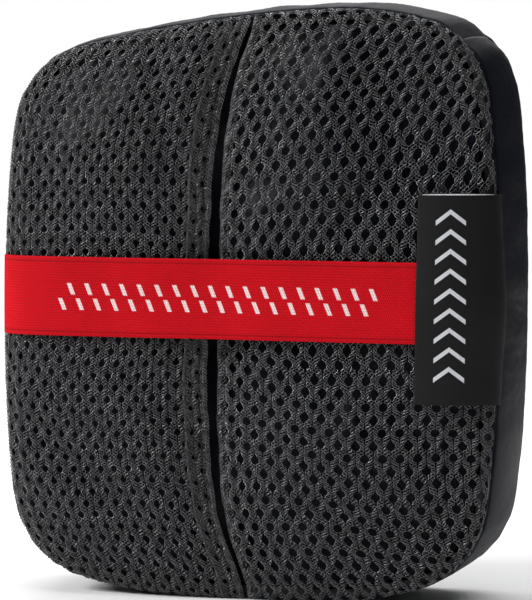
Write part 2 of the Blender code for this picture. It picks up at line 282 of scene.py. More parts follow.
def sheet_mesh(name, points, uvs, closed=False):
    """A mesh of quads over a grid of points, facing away from the middle of the pouch."""
    rows, columns = points.shape[:2]
    shape = bmesh.new()
    layer = shape.loops.layers.uv.new("UVMap")
    corners = [[shape.verts.new(points[r, c]) for c in range(columns)] for r in range(rows)]
    for r in range(rows - 1):
        for c in range(columns - 1):
            places = ((r, c), (r, c + 1), (r + 1, c + 1), (r + 1, c))
            face = shape.faces.new([corners[i][j] for i, j in places])
            face.smooth = True
            for loop, (i, j) in zip(face.loops, places):
                loop[layer].uv = uvs[i, j]
    bmesh.ops.remove_doubles(shape, verts=shape.verts, dist=1e-6)
    shape.normal_update()
    facing = sum(f.normal.dot(f.calc_center_median() - POUCH_MIDDLE) * f.calc_area() for f in shape.faces)
    if facing < 0:
        bmesh.ops.reverse_faces(shape, faces=shape.faces)
    if closed:
        bmesh.ops.recalc_face_normals(shape, faces=shape.faces)
    return made_mesh(name, shape)


def placed(name, data):
    """A new object in the scene."""
    obj = bpy.data.objects.new(name, data)
    bpy.context.scene.collection.objects.link(obj)
    return obj


def add_piece(name, mesh, material):
    obj = placed(name, mesh)
    mesh.materials.clear()
    mesh.materials.append(material)
    return obj


def plain_mesh(obj):
    """A new mesh of an object with its modifiers worked out."""
    return bpy.data.meshes.new_from_object(obj.evaluated_get(bpy.context.evaluated_depsgraph_get()))


def settled(obj):
    """Turn a piece's modifiers into plain mesh."""
    mesh = plain_mesh(obj)
    obj.modifiers.clear()
    obj.data = mesh
    return obj


def thickened(obj, thickness, offset=-1.0, rim_bevel=0.0):
    solid = obj.modifiers.new("thickness", "SOLIDIFY")
    solid.thickness = thickness
    solid.offset = offset
    if rim_bevel:
        bevel = obj.modifiers.new("edges", "BEVEL")
        bevel.width = rim_bevel
        bevel.segments = 3
        bevel.limit_method = "ANGLE"
        bevel.angle_limit = math.radians(50)
    return settled(obj)


def joined(name, objects):
    """Several mesh objects made one piece."""
    for obj in bpy.context.selected_objects:
        obj.select_set(False)
    for obj in objects:
        obj.select_set(True)
    bpy.context.view_layer.objects.active = objects[0]
    bpy.ops.object.join()
    objects[0].name = name
    return objects[0]


def vertex_places(obj):
    places = np.empty(len(obj.data.vertices) * 3)
    obj.data.vertices.foreach_get("co", places)
    return places.reshape(-1, 3)


def bent(obj, weights):
    """Bake a piece's placement into its mesh; the share given for each of its points is not used."""
    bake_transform(obj)


def flap_share(places):
    """A flap is sewn down at its top and foot, and opens most at mid height."""
    height = np.clip(places[:, 2] / TOP_Z, 0.0, 1.0)
    return np.clip(1 - np.abs(2 * height - 1) ** 2.6, 0.0, 1.0)


def soft_noise(*place):
    """Smooth noise from -1 to 1 at a place."""
    return noise.noise(Vector(place))


# ---- shader groups and materials
class Wiring:
    """Short ways to add and link nodes in one tree."""

    def __init__(self, tree):
        self.tree = tree

    def put(self, target, value):
        if isinstance(value, bpy.types.NodeSocket):
            self.tree.links.new(value, target)
        else:
            target.default_value = value

    def add(self, kind, inputs=None, **choices):
        """A new node, with values or links for its inputs by name or number."""
        node = self.tree.nodes.new(kind)
        for key, value in choices.items():
            setattr(node, key, value)
        for key, value in (inputs or {}).items():
            self.put(node.inputs[key], value)
        return node

    def math(self, operation, *values):
        return self.add("ShaderNodeMath", dict(enumerate(values)), operation=operation).outputs[0]

    def plus(self, first, second):
        return self.math("ADD", first, second)

    def minus(self, first, second):
        return self.math("SUBTRACT", first, second)

    def times(self, first, second):
        return self.math("MULTIPLY", first, second)

    def over(self, first, second):
        return self.math("DIVIDE", first, second)

    def size(self, value):
        return self.math("ABSOLUTE", value)

    def scaled(self, vector, scale):
        return self.add("ShaderNodeVectorMath", {0: vector, "Scale": scale}, operation="SCALE").outputs[0]

    def vector(self, **parts):
        return self.add("ShaderNodeCombineXYZ", parts).outputs[0]

    def parts(self, vector):
        return self.add("ShaderNodeSeparateXYZ", {0: vector}).outputs

    def coordinates(self, kind):
        return self.add("ShaderNodeTexCoord").outputs[kind]

    def mix(self, share, first, second):
        return self.add("ShaderNodeMix", {0: share, 6: first, 7: second}, data_type="RGBA").outputs[2]

    def ranged(self, value, low, high, to_low=0.0, to_high=1.0):
        values = dict(enumerate((value, low, high, to_low, to_high)))
        return self.add("ShaderNodeMapRange", values).outputs[0]

    def noise(self, place, scale, detail=2.0):
        values = {"Vector": place, "Scale": scale, "Detail": detail}
        return self.add("ShaderNodeTexNoise", values).outputs["Fac"]


def open_group(name, kind, inputs, outputs):
    """A new node group with its sockets, its wiring and the outputs of its input node."""
    tree = bpy.data.node_groups.new(name, kind)
    for direction, sockets in (("INPUT", inputs), ("OUTPUT", outputs)):
        for label, socket_kind, *value in sockets:
            socket = tree.interface.new_socket(name=label, in_out=direction, socket_type=socket_kind)
            if value:
                socket.default_value = value[0]
    wire = Wiring(tree)
    return tree, wire, wire.add("NodeGroupInput").outputs


def cloth_wear(name):
    """Soft colour change and lint over a cloth, from its place on the object."""
    tree, wire, given = open_group(
        name, "ShaderNodeTree",
        (("Color", "NodeSocketColor", (0.1, 0.1, 0.1, 1.0)), ("Variation", "NodeSocketFloat", 0.2),
         ("Patch Scale", "NodeSocketFloat", 60.0), ("Lint", "NodeSocketFloat", 0.05)),
        (("Color", "NodeSocketColor"), ("Patches", "NodeSocketFloat")))
    place = wire.coordinates("Object")
    patches = wire.noise(place, given["Patch Scale"], 3.0)
    swing = wire.times(wire.minus(patches, 0.5), given["Variation"])
    shaded = wire.scaled(given["Color"], wire.plus(wire.times(swing, 2.0), 1.0))
    specks = wire.ranged(wire.noise(place, 2600.0), 0.70, 0.78)
    linted = wire.mix(wire.times(specks, given["Lint"]), shaded, (0.30, 0.30, 0.32, 1.0))
    wire.add("NodeGroupOutput", {"Color": linted, "Patches": patches})
    return tree


def plain_weave(name):
    """Plain weave of fine threads along a UV map in metres: a height and a thread mask."""
    tree, wire, given = open_group(
        name, "ShaderNodeTree", (("Thread Pitch", "NodeSocketFloat", 0.0005),),
        (("Height", "NodeSocketFloat"), ("Over", "NodeSocketFloat")))
    uv = wire.parts(wire.coordinates("UV"))
    turn = wire.over(math.pi, given["Thread Pitch"])
    across = wire.math("SINE", wire.times(uv["X"], turn))
    along = wire.math("SINE", wire.times(uv["Y"], turn))
    crossing = wire.times(across, along)
    height = wire.plus(wire.plus(wire.size(across), wire.size(along)), crossing)
    wire.add("NodeGroupOutput", {"Height": height, "Over": wire.ranged(crossing, -0.4, 0.4)})
    return tree


def group_named(name):
    """A node group by its name, built the first time it is asked for."""
    builders = {"cloth_wear": cloth_wear, "plain_weave": plain_weave, "knitted_strands": knitted_strands}
    return bpy.data.node_groups.get(name) or builders[name](name)


def worn_cloth(wire, color, variation, patch_scale, lint):
    """The cloth_wear group in a material, as its colour and its patches."""
    values = {"Color": (*color, 1.0), "Variation": variation, "Patch Scale": patch_scale, "Lint": lint}
    node = wire.add("ShaderNodeGroup", values, node_tree=group_named("cloth_wear"))
    return node.outputs["Color"], node.outputs["Patches"]


def new_material(name, roughness, specular):
    material = bpy.data.materials.new(name)
    material.use_nodes = True
    shader = material.node_tree.nodes["Principled BSDF"]
    shader.inputs["Roughness"].default_value = roughness
    shader.inputs["Specular IOR Level"].default_value = specular
    return material, shader.inputs, Wiring(material.node_tree)


def bumped(wire, surface, height, distance, strength):
    bump = wire.add("ShaderNodeBump", {"Height": height, "Distance": distance, "Strength": strength})
    wire.put(surface["Normal"], bump.outputs[0])


def fibre_material(name, color, finish, wear, grain, gloss=None):
    """Yarn, thread or tape: a worn colour and a fine grain.

    finish is roughness and specular, wear is colour variation, patch scale and lint, grain is
    scale, detail, distance and strength, and gloss is the roughness of dark and light patches.
    """
    material, surface, wire = new_material(name, *finish)
    shade, patches = worn_cloth(wire, color, *wear)
    wire.put(surface["Base Color"], shade)
    if gloss:
        wire.put(surface["Roughness"], wire.ranged(patches, 0.3, 0.7, *gloss))
    bumped(wire, surface, wire.noise(wire.coordinates("Object"), *grain[:2]), *grain[2:])
    return material


def yarn_material(name):
    """Dark filament polyester: each yarn a little lighter or darker, with a twisted sheen."""
    return fibre_material(
        name, settings().yarn_color, (0.35, 1.0), (0.55, 420.0, 0.10), (5200.0, 1.0, 0.00008, 0.6),
        gloss=(0.20, 0.36))


def nylon_material(name, color, roughness, variation):
    """Coated nylon: tight plain weave under a soft shine, with faint rubbed patches."""
    material, surface, wire = new_material(name, roughness, 0.06)
    shade, patches = worn_cloth(wire, color, variation, 45.0, 0.015)
    weave = wire.add("ShaderNodeGroup", {"Thread Pitch": 0.00042}, node_tree=group_named("plain_weave"))
    contrast = wire.ranged(weave.outputs["Over"], 0.0, 1.0, 0.86, 1.14)
    wire.put(surface["Base Color"], wire.scaled(shade, contrast))
    wire.put(surface["Roughness"], wire.ranged(patches, 0.2, 0.8, roughness - 0.07, roughness + 0.07))
    bumped(wire, surface, weave.outputs["Height"], 0.00004, 0.5)
    return material


def printed_dashes(wire, along, up):
    """Mask of a row of short slanted strokes around up = 0, along the middle of the band."""
    pitch, slant, half_width, half_height, blur = 0.0058, 0.40, 0.0007, 0.0018, 0.0001
    shifted = wire.plus(along, wire.times(up, slant))
    part = wire.minus(wire.math("FRACT", wire.over(shifted, pitch)), 0.5)
    side = wire.times(wire.size(part), pitch)
    in_width = wire.ranged(side, half_width - blur, half_width + blur, 1.0, 0.0)
    in_height = wire.ranged(wire.size(up), half_height - blur, half_height + blur, 1.0, 0.0)
    printed = wire.times(
        wire.math("GREATER_THAN", shifted, 4 * pitch), wire.math("LESS_THAN", shifted, 22 * pitch))
    return wire.times(wire.times(in_width, in_height), printed)


def elastic_material():
    """Woven elastic: fine cross ribs, a twill slant, selvedges, and two printed rows of strokes, with
    painted shade in the rib grooves and painted highlight on the rib tops.
    """
    material, surface, wire = new_material("red_elastic_weave", 0.7, 0.08)
    rib_turn, pick_turn = math.tau / 0.00085, math.tau / 0.00075
    row_up, half_pitch = 0.0024, 0.0029
    uv = wire.parts(wire.coordinates("UV"))
    along, up = uv["X"], uv["Y"]
    ribs = wire.math("SINE", wire.times(up, rib_turn))
    picks = wire.math("SINE", wire.plus(wire.times(along, pick_turn), wire.times(up, rib_turn / 2)))
    height = wire.plus(ribs, wire.times(picks, 0.8))
    edge = wire.size(up)
    selvedge = wire.times(
        wire.ranged(edge, 0.0106, 0.0109), wire.ranged(edge, 0.0113, 0.0116, 1.0, 0.0))
    worn = worn_cloth(wire, settings().band_color, 0.12, 90.0, 0.03)[0]
    # The ribs' relief sets their colour: painted shade down in the grooves and painted highlight on the rib
    # tops.
    shade = wire.ranged(height, -1.8, 1.8, 0.80, 1.18)
    shade = wire.times(shade, wire.ranged(selvedge, 0.0, 1.0, 1.0, 0.72))
    upper = printed_dashes(wire, along, wire.minus(up, row_up))
    lower = printed_dashes(wire, wire.plus(along, half_pitch), wire.plus(up, row_up))
    ink = wire.times(wire.math("MAXIMUM", upper, lower), wire.ranged(height, -1.6, 0.4, 0.72, 0.97))
    wire.put(surface["Base Color"], wire.mix(ink, wire.scaled(worn, shade), (0.86, 0.70, 0.70, 1.0)))
    bumped(wire, surface, height, 0.00007, 0.7)
    return material


def label_material():
    """Black damask label: satin ribs with painted highlight on their tops and painted shade between them,
    and a woven pale row of chevrons.
    """
    material, surface, wire = new_material("label_satin", 0.5, 0.18)
    rib_turn, warp_turn, chevron_pitch = math.tau / 0.00032, math.tau / 0.00028, 0.0060
    uv = wire.parts(wire.coordinates("UV"))
    ribs = wire.math("SINE", wire.times(uv["Y"], rib_turn))
    warps = wire.math("SINE", wire.times(uv["X"], warp_turn))
    height = wire.plus(ribs, wire.times(warps, 0.5))
    from_axis = wire.size(wire.minus(uv["X"], 0.0100))
    bent_up = wire.plus(uv["Y"], wire.times(from_axis, 0.8))
    stroke = wire.size(wire.minus(wire.math("FRACT", wire.over(bent_up, chevron_pitch)), 0.5))
    marks = wire.times(
        wire.ranged(stroke, 0.115, 0.135, 1.0, 0.0), wire.ranged(from_axis, 0.0043, 0.0045, 1.0, 0.0))
    from_middle = wire.size(wire.minus(bent_up, 0.0030))
    marks = wire.times(marks, wire.ranged(from_middle, 0.0269, 0.0271, 1.0, 0.0))
    worn = worn_cloth(wire, settings().label_color, 0.25, 160.0, 0.04)[0]
    # The ribs' relief sets the colour: painted highlight along the rib tops, as a satin sheen, and painted
    # shade in the grooves.
    shaded = wire.scaled(worn, wire.ranged(height, -1.5, 1.5, 0.55, 1.6))
    wire.put(surface["Base Color"], wire.mix(marks, shaded, (0.62, 0.63, 0.66, 1.0)))
    bumped(wire, surface, wire.plus(height, wire.times(marks, 2.0)), 0.00003, 0.6)
    return material


# ---- knitting with Geometry Nodes
PLIES = 3.0     # yarns twisted together in each strand


def knitted_strands(name):
    """Twisted strands around rows of holes, laid over a sheet by its UV map in metres."""
    sizes = (
        ("Cell Width", 0.0055), ("Row Height", 0.0041), ("Hole Width", 0.0030), ("Hole Height", 0.0030),
        ("Twist Length", 0.0030), ("Twist Depth", 0.00034), ("Yarn Radius", 0.0002),
        ("First Across", 0.0), ("First Along", 0.0), ("Length", 0.1),
        ("Lift", 0.0), ("Wander", 0.0003), ("Step", 0.0005), ("Seed", 1.0))
    tree, wire, given = open_group(
        name, "GeometryNodeTree",
        (("Sheet", "NodeSocketGeometry"), *((label, "NodeSocketFloat", value) for label, value in sizes),
         ("Strands", "NodeSocketInt", 10), ("Material", "NodeSocketMaterial")),
        (("Strands", "NodeSocketGeometry"),))
    row = given["Row Height"]
    half_cell = wire.times(given["Cell Width"], 0.5)

    # One straight line for each yarn, its points evenly spaced.
    line = wire.add("GeometryNodeCurvePrimitiveLine", {"End": wire.vector(Y=given["Length"])})
    points = wire.add("GeometryNodeResampleCurve", {
        "Curve": line.outputs[0], "Count": wire.over(given["Length"], given["Step"])})
    copies = wire.add("GeometryNodeDuplicateElements", {
        "Geometry": points.outputs[0], "Amount": wire.times(given["Strands"], PLIES)}, domain="SPLINE")
    index = copies.outputs["Duplicate Index"]
    along = wire.add("GeometryNodeSplineParameter").outputs["Length"]
    strand = wire.math("FLOOR", wire.over(wire.plus(index, 0.01), PLIES))
    ply = wire.minus(index, wire.times(strand, PLIES))
    odd = wire.math("FLOORED_MODULO", strand, 2.0)
    mirrored = wire.minus(1.0, wire.times(odd, 2.0))

    # Each strand fills the room between the holes on its left and on its right.
    away = wire.math("PINGPONG", wire.plus(along, wire.times(row, wire.minus(odd, 0.5))), row)

    def hole_reach(distance):
        share = wire.over(distance, wire.times(given["Hole Height"], 0.5))
        rest = wire.math("MAXIMUM", wire.minus(1.0, wire.times(share, share)), 0.0)
        return wire.times(wire.times(wire.math("POWER", rest, 0.6), given["Hole Width"]), 0.5)

    left = hole_reach(away)
    right = wire.minus(half_cell, hole_reach(wire.minus(row, away)))
    twist = wire.times(wire.over(along, given["Twist Length"]), math.tau)
    twist = wire.plus(wire.times(twist, mirrored), wire.times(ply, math.tau / PLIES))

    # The strands wander a little, across and along.
    spot = wire.vector(X=wire.times(strand, 0.35), Y=wire.times(along, 160.0), Z=given["Seed"])
    waver = wire.add("ShaderNodeTexNoise", {"Vector": spot, "Scale": 1.0, "Detail": 2.0})
    shift = wire.parts(waver.outputs["Color"])
    wander_across, wander_along = (
        wire.times(wire.times(wire.minus(shift[axis], 0.5), given["Wander"]), 2.0) for axis in ("X", "Y"))

    share = wire.plus(wire.times(wire.math("SINE", twist), 0.44), 0.5)
    across = wire.plus(left, wire.times(wire.minus(right, left), share))
    across = wire.plus(across, wire.times(strand, half_cell))
    across = wire.plus(wire.plus(across, given["First Across"]), wander_across)
    up = wire.plus(wire.plus(along, given["First Along"]), wander_along)
    depth = wire.plus(wire.times(wire.math("COSINE", twist), given["Twist Depth"]), given["Lift"])

    # Keep each point's place on the sheet, and then look that place up.
    kept = wire.add("GeometryNodeStoreNamedAttribute", data_type="FLOAT_VECTOR", domain="POINT")
    deep = wire.add("GeometryNodeStoreNamedAttribute", data_type="FLOAT", domain="POINT")
    for store, before, attribute, value in (
        (kept, copies, "on_sheet", wire.vector(X=across, Y=up)), (deep, kept, "depth", depth),
    ):
        wire.put(store.inputs["Geometry"], before.outputs[0])
        wire.put(store.inputs["Name"], attribute)
        wire.put(store.inputs["Value"], value)

    def stored(attribute, kind):
        node = wire.add("GeometryNodeInputNamedAttribute", data_type=kind)
        node.inputs["Name"].default_value = attribute
        return node.outputs["Attribute"]

    on_sheet, sheet_uv = stored("on_sheet", "FLOAT_VECTOR"), stored("UVMap", "FLOAT_VECTOR")

    def sampled(field):
        node = wire.add("GeometryNodeSampleUVSurface", data_type="FLOAT_VECTOR")
        for label, value in (("Mesh", given["Sheet"]), ("Value", field),
                             ("Source UV Map", sheet_uv), ("Sample UV", on_sheet)):
            wire.put(node.inputs[label], value)
        return node.outputs

    place = sampled(wire.add("GeometryNodeInputPosition").outputs[0])
    normal = sampled(wire.add("GeometryNodeInputNormal").outputs[0])["Value"]
    final = wire.add("ShaderNodeVectorMath", {
        0: place["Value"], 1: wire.scaled(normal, stored("depth", "FLOAT"))}, operation="ADD")

    # Trim what falls off the sheet, lay the rest on it, and give each yarn its thickness.
    outside = wire.add("FunctionNodeBooleanMath", {0: place["Is Valid"]}, operation="NOT")
    trimmed = wire.add("GeometryNodeDeleteGeometry", {
        "Geometry": deep.outputs[0], "Selection": outside.outputs[0]}, domain="POINT")
    laid = wire.add("GeometryNodeSetPosition", {
        "Geometry": trimmed.outputs[0], "Position": final.outputs[0]})
    ring = wire.add("GeometryNodeCurvePrimitiveCircle", {"Resolution": 3, "Radius": given["Yarn Radius"]})
    tubes = wire.add("GeometryNodeCurveToMesh", {
        "Curve": laid.outputs[0], "Profile Curve": ring.outputs[0], "Fill Caps": True})
    smooth = wire.add("GeometryNodeSetShadeSmooth", {0: tubes.outputs[0]})
    real = wire.add("GeometryNodeRealizeInstances", {0: smooth.outputs[0]})
    finished = wire.add("GeometryNodeSetMaterial", {
        "Geometry": real.outputs[0], "Material": given["Material"]})
    wire.add("NodeGroupOutput", {0: finished.outputs[0]})
    return tree


def grown(name, sheet, tree, values):
    """Run a Geometry Nodes tree on a sheet, and keep the result as a plain mesh piece."""
    host = placed(name, sheet)
    modifier = host.modifiers.new(tree.name, "NODES")
    modifier.node_group = tree
    sockets = {s.name: s.identifier for s in tree.interface.items_tree if s.in_out == "INPUT"}
    for key, value in values.items():
        modifier[sockets[key]] = value
    host.update_tag()
    bpy.context.view_layer.update()
    settled(host)
    for attribute in ("on_sheet", "depth"):
        if attribute in host.data.attributes:
            host.data.attributes.remove(host.data.attributes[attribute])
    return host


# ---- the mesh flaps
def surface_length(x_from, x, z_from, z):
    """Length over the front from one point to another, straight in x or in z."""
    shares = (1 - np.cos(np.linspace(0.0, math.pi, 56))) / 2
    xs = x_from[..., None] + (x - x_from)[..., None] * shares
    zs = z_from[..., None] + (z - z_from)[..., None] * shares
    heights = front_height(xs, zs)
    steps = np.sqrt(np.diff(xs) ** 2 + np.diff(zs) ** 2 + np.diff(heights) ** 2)
    return steps.sum(axis=-1)


def flap_sheet(side):
    """The form of one flap, with a UV map in metres: across from the slit, up from the band."""
    rows, columns = 110, 64
    seam, free = flap_edges(side, rows)
    share = np.sin(np.linspace(0.0, 1.0, columns) * math.pi / 2)
    grid = free[:, None, :] + (seam - free)[:, None, :] * share[None, :, None]
    x, z = grid[..., 0], grid[..., 1]
    across = surface_length(slit_x(z) + side * slit_half(z), x, z, z)
    middle = np.full_like(z, BAND_MIDDLE)
    up = surface_length(x, x, middle, z) * np.sign(z - middle)
    # The rows of holes waver, and on the right they are pulled askew at some heights.
    sag = 0.0008 * np.sin(across * 95 + up * 60)
    if side > 0:
        sag = sag - across * np.interp(z, (0.0, 0.070, 0.100, 0.150, 0.188), (0.02, -0.05, 0.0, 0.14, 0.09))
    across = across + 0.0009 * np.sin(up * 70 + 1.0) * np.clip(across / 0.02, 0.0, 1.0)
    under_hems = -0.0004
    return sheet_mesh("flap_form", front_points(x, z, under_hems), np.stack([across, up + sag], axis=-1))


def knit_half(name, sheet, upper, material, **changes):
    """One flap's knit above or below the band's middle. changes are inputs of knitted_strands."""
    length = 0.106      # longer than either half of a flap, and trimmed to it
    values = {"First Along": 0.0 if upper else -length, "Length": length, "Material": material,
              "Yarn Radius": settings().yarn_radius, "Seed": float(settings().stitch_seed)}
    values.update((key.replace("_", " "), value) for key, value in changes.items())
    return grown(name, sheet.copy(), group_named("knitted_strands"), values)


class POUCH_OT_knitted_flaps(bpy.types.Operator):
    """Knit the two mesh flaps, each in an upper and a lower piece"""

    bl_idname = "pouch.knitted_flaps"
    bl_label = "Knitted Flaps"

    def execute(self, context):
        material = yarn_material("knit_yarn")
        sizes = settings()
        for name, side, pitch, row, hole, strands in (
            ("left", -1, sizes.left_pitch, sizes.left_row, 0.0021, 34),
            ("right", 1, sizes.right_pitch, sizes.right_row, 0.0028, 35),
        ):
            sheet = flap_sheet(side)
            for part, upper in (("upper", True), ("lower", False)):
                piece = knit_half(
                    f"{name}_mesh_{part}", sheet, upper, material, Cell_Width=pitch, Row_Height=row,
                    Hole_Width=hole, Hole_Height=hole, Strands=strands)
                bent(piece, flap_share(vertex_places(piece)))
                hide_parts(f"{name}_mesh_panel")
        return {"FINISHED"}


class POUCH_OT_hems(bpy.types.Operator):
    """Knit the doubled hems along the slit, with their edge braid and chain stitch"""

    bl_idname = "pouch.hems"
    bl_label = "Hems"

    def execute(self, context):
        yarn = yarn_material("hem_yarn")
        sizes = settings()
        for name, side, pitch, row, strands, stitch_line in (
            ("left", -1, sizes.left_pitch, sizes.left_row, 3, 0.0066),
            ("right", 1, sizes.right_pitch, sizes.right_row, 1, None),
        ):
            sheet = flap_sheet(side)
            parts = []
            for upper in (True, False):
                parts.append(knit_half(
                    "second_layer", sheet, upper, yarn, Cell_Width=pitch, Row_Height=row,
                    Hole_Width=0.0018, Hole_Height=0.0020, Strands=strands, First_Across=0.0009,
                    Lift=-0.0007, Seed=21.0))
                parts.append(knit_half(
                    "edge_braid", sheet, upper, yarn, Cell_Width=0.0030, Hole_Width=0.0, Strands=1,
                    Seed=33.0))
                if stitch_line:
                    parts.append(knit_half(
                        "chain_stitch", sheet, upper, yarn, Cell_Width=0.0017, Hole_Width=0.0, Strands=1,
                        Twist_Length=0.0021, Yarn_Radius=0.00013, First_Across=stitch_line, Lift=0.0002))
            piece = joined(f"{name}_hem_knit", parts)
            bent(piece, flap_share(vertex_places(piece)))
            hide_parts(f"{name}_hem")
        return {"FINISHED"}


# ---- band and label
def band_share(x):
    """The band rises over the slit like a tent, and stays sewn down at both seams."""
    left, right = outline()[:, 0].min(), outline()[:, 0].max()
    top = slit_x(BAND_MIDDLE)
    rising = np.clip((x - left) / (top - left - 0.004), 0.0, 1.0)
    falling = np.clip((right - x) / (right - top - 0.010), 0.0, 1.0)
    tent = np.minimum(rising, falling)
    return np.clip(tent + 0.08 * np.sin(tent * math.pi), 0.0, 1.0)


def front_run(left_x, right_x, middle_z, count):
    """x values that are evenly spaced along a level line over the front, and its length."""
    xs = left_x + (right_x - left_x) * (1 - np.cos(np.linspace(0.0, math.pi, 600))) / 2
    line = front_points(xs, np.full_like(xs, middle_z), valley=False)
    even = resampled(line, count)
    length = np.linalg.norm(np.diff(even, axis=0), axis=1).sum()
    return even[:, 0], length


class POUCH_OT_elastic_band(bpy.types.Operator):
    """Make the wide elastic band from the left seam to the right seam"""

    bl_idname = "pouch.elastic_band"
    bl_label = "Elastic Band"

    def execute(self, context):
        left_room, right_room, rest_lift, slit_dip, end_drop = 0.0012, 0.0022, 0.00045, 0.0009, 0.0012
        left, right = outline()[:, 0].min() + left_room, outline()[:, 0].max() - right_room
        columns, rows = 200, 15
        xs, length = front_run(left, right, BAND_MIDDLE, columns)
        heights = np.linspace(BAND_FOOT, BAND_TOP, rows)
        x, z = np.meshgrid(xs, heights)
        edge = np.abs(np.linspace(-1.0, 1.0, rows))[:, None]
        dip = slit_dip * np.exp(-(((x - slit_x(z)) / 0.014) ** 2))
        ends = np.clip(np.minimum(x - left, right - x) / 0.009, 0.0, 1.0)
        edge_wave = 0.00012 * np.sin(x * 160) * edge
        lift = rest_lift - dip * (1 - 0.4 * edge) + edge_wave - end_drop * (1 - ends) ** 2
        points = front_points(x, z, lift, valley=False)
        uvs = np.stack(np.meshgrid(np.linspace(0.0, length, columns), heights - BAND_MIDDLE), axis=-1)
        mesh = sheet_mesh("elastic_band_woven", points, uvs)
        band = add_piece("elastic_band_woven", mesh, elastic_material())
        thickened(band, settings().band_thickness, 1.0, 0.00028)
        bent(band, band_share(vertex_places(band)[:, 0]))
        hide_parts("elastic_band", "band_left_end", "band_right_end")
        return {"FINISHED"}


def sewn_on(piece):
    """Bake the label piece's placement into its mesh."""
    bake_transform(piece)


class POUCH_OT_woven_label(bpy.types.Operator):
    """Make the folded label that is sewn into the right seam"""

    bl_idname = "pouch.woven_label"
    bl_label = "Woven Label"

    def execute(self, context):
        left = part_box("band_right_end")[0].x + 0.0010
        seam = flap_edges(1, 300)[0]
        right = np.interp(LABEL_HIGH.z, seam[:, 1], seam[:, 0])
        columns, rows = 44, 60
        middle_z = (LABEL_LOW.z + LABEL_HIGH.z) / 2
        xs, length = front_run(left, right, middle_z, columns)
        heights = np.linspace(LABEL_LOW.z + 0.0014, LABEL_HIGH.z - 0.0016, rows)
        x, z = np.meshgrid(xs, heights)
        share = (x - left) / (right - left)
        x = x + (np.interp(z, seam[:, 1], seam[:, 0]) - right) * share
        over_band = np.clip(1.15 - np.abs(z - BAND_MIDDLE) / (BAND_TOP - BAND_MIDDLE + 0.006), 0.0, 1.0)
        x = x - 0.0006 * (1 - share) * (middle_z - z) / 0.034
        over_mesh, step_over_band, bow = 0.0012, 0.0011, 0.0004
        lift = over_mesh + step_over_band * over_band + bow * np.sin(share * math.pi)
        uvs = np.stack(np.meshgrid(np.linspace(0.0, length, columns), heights - middle_z), axis=-1)
        material = label_material()
        for name, sunk, thickness, bevel in (
            ("label_front", 0.0, 0.00045, 0.00012), ("label_back", 0.00075, 0.00035, 0.0001),
        ):
            points = front_points(x, z, lift - sunk, valley=False)
            label = add_piece(name, sheet_mesh(name, points, uvs), material)
            thickened(label, thickness, 1.0, bevel)
            sewn_on(label)
            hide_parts("woven_label")
        self.edge_threads(front_points(x, z, lift, valley=False)[-1][2:-3])
        return {"FINISHED"}

    def edge_threads(self, line):
        """Two pale threads along the label's cut top edge, thin at their ends."""
        pale = fibre_material(
            "pale_thread", (0.55, 0.56, 0.58), (0.5, 0.4), (0.3, 900.0, 0.02), (4000.0, 1.0, 0.00005, 0.6))
        curve = bpy.data.curves.new("label_edge_threads", "CURVE")
        curve.dimensions = "3D"
        curve.bevel_depth = 0.00026
        curve.bevel_resolution = 2
        curve.use_fill_caps = True
        for shift in (0.0, 0.00032):
            spline = curve.splines.new("POLY")
            spline.points.add(len(line) - 1)
            for point, place, share in zip(spline.points, line, np.linspace(0, 1, len(line))):
                swell = math.sin(share * math.pi) ** 0.6
                point.co = (place[0], place[1] - 0.0002 + shift, place[2] + 0.00012 * swell, 1.0)
                point.radius = 0.35 + 0.65 * swell
        source = placed("label_edge_source", curve)
        bpy.context.view_layer.update()
        mesh = plain_mesh(source)
        bpy.data.objects.remove(source)
        sewn_on(add_piece("label_edge_threads", mesh, pale))


# ---- nylon walls
WALL_THICKNESS = 0.0005
FLOOR_ROOM = 0.00015    # the walls stay this far over the floor


def outward_of(steps):
    """Unit directions square to the steps along the outline."""
    outward = np.stack([steps[:, 1], -steps[:, 0]], axis=1)
    return outward / np.linalg.norm(outward, axis=1, keepdims=True)


def wall_line(first_degrees, last_degrees, count):
    """The outline and its outward directions between two facing angles."""
    turns = np.linspace(math.radians(first_degrees), math.radians(last_degrees), 400)
    wrapped = (turns + math.pi) % math.tau - math.pi
    line = closed_outline()
    xs, zs = (np.interp(wrapped, np.append(TURNS, math.pi), line[:, k]) for k in (0, 1))
    spread = resampled(np.stack([xs, zs], axis=1), count)
    return spread, outward_of(np.gradient(spread, axis=0))


